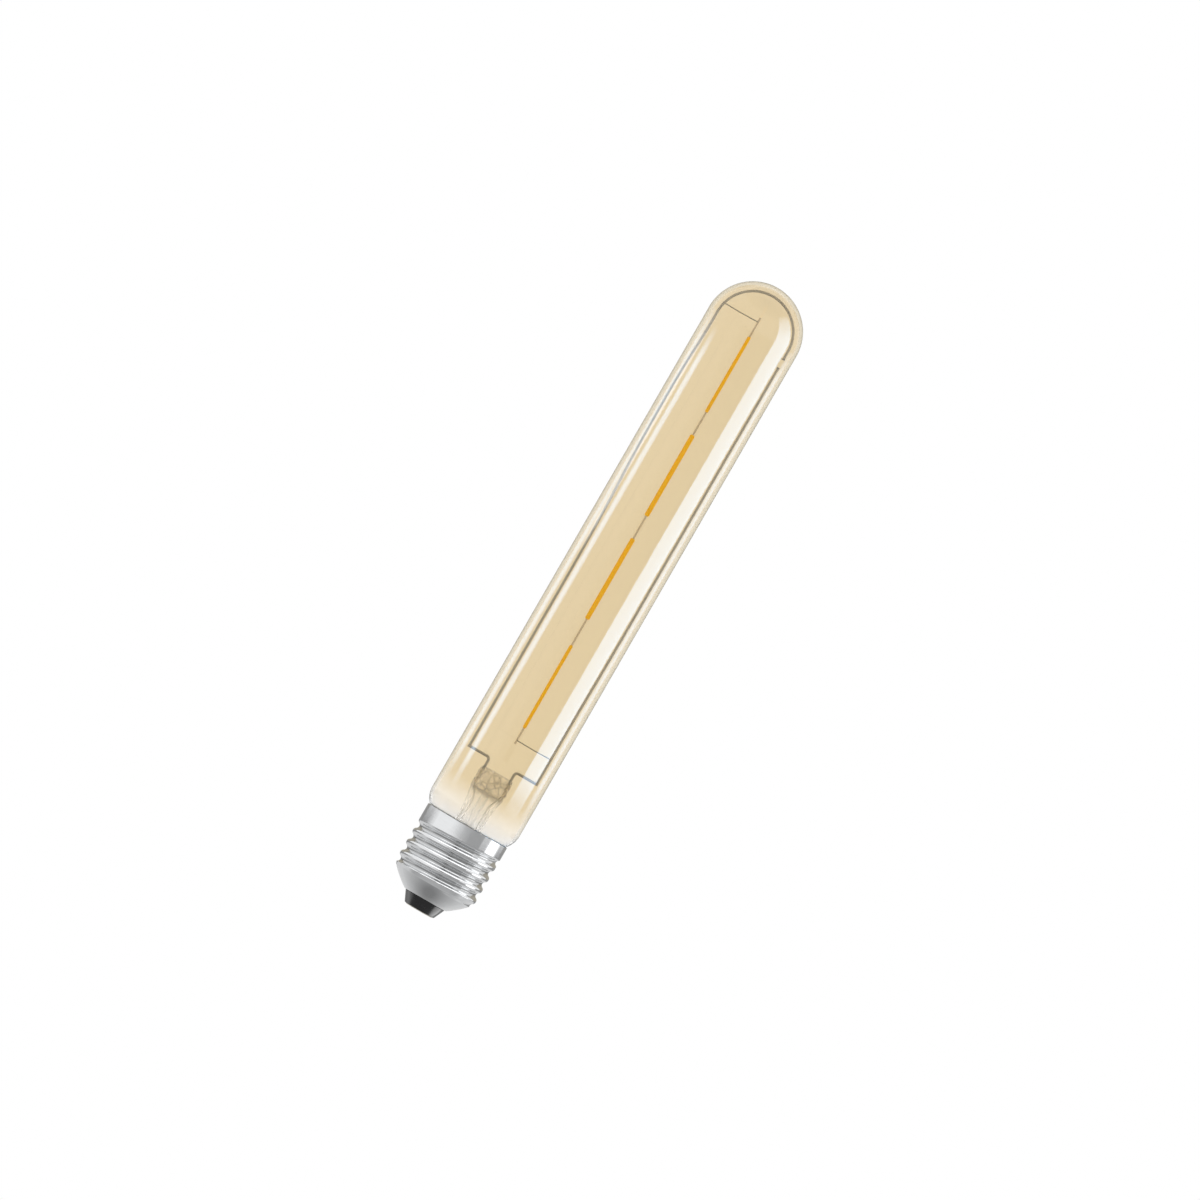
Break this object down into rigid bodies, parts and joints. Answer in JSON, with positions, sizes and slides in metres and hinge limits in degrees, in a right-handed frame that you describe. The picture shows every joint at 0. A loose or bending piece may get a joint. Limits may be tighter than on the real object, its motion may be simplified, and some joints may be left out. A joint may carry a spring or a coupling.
{
  "type": "tubular light bulb",
  "caption": "Long tubular filament lamp with a domed gold-tinted clear glass tube, a line of thin glowing strips on side wires, and a screw cap for a lamp holder.",
  "frame": {"origin": "centre of the contact face at the foot of the cap, on the lamp axis", "axes": "+Z along the lamp axis from the contact to the dome; the support wires lie in the XZ plane and are seen from -Y"},
  "size_m": [0.029, 0.029, 0.207],
  "materials": {
    "amber_glass": "clear gold tint",
    "clear_glass": "clear",
    "support_wire": "dull nickel",
    "seal_wire": "copper sheath",
    "phosphor": "silicone with phosphor",
    "pin_metal": "plain",
    "cap_metal": "bright rolled sheet",
    "insulator_black": "satin black",
    "contact_metal": "tinned",
    "solder": "soft bright",
    "cement": "matt, chalky",
    "board_green": "lacquered",
    "component_black": "moulded",
    "can_metal": "plain",
    "resistor_body": "lacquered",
    "feed_wire": "tinned copper"
  },
  "bodies": {
    "root": {"glass_envelope": "amber_glass", "stem_glass": "clear_glass", "exhaust_tube": "clear_glass", "bead_insulator": "clear_glass", "frame_wire_left": "support_wire", "frame_wire_right": "support_wire", "inner_lead_left": "support_wire", "inner_lead_right": "support_wire", "top_link_wire": "support_wire", "bottom_link_wire": "support_wire", "seal_wire_left": "seal_wire", "seal_wire_right": "seal_wire", "led_filament_1": "phosphor", "led_filament_2": "phosphor", "led_filament_3": "phosphor", "led_filament_4": "phosphor", "filament_pin_1_upper": "pin_metal", "filament_pin_1_lower": "pin_metal", "filament_pin_2_upper": "pin_metal", "filament_pin_2_lower": "pin_metal", "filament_pin_3_upper": "pin_metal", "filament_pin_3_lower": "pin_metal", "filament_pin_4_upper": "pin_metal", "filament_pin_4_lower": "pin_metal", "cap_shell": "cap_metal", "cap_insulator": "insulator_black", "contact_eyelet": "contact_metal", "centre_solder": "solder", "side_solder": "solder", "basing_cement": "cement", "driver_board": "board_green", "bridge_rectifier": "component_black", "driver_chip": "component_black", "sense_resistors": "component_black", "smoothing_capacitor": "can_metal", "fuse_resistor": "resistor_body", "outer_lead_left": "feed_wire", "outer_lead_right": "feed_wire", "live_wire": "feed_wire", "neutral_wire": "feed_wire"}
  },
  "joints": []
}
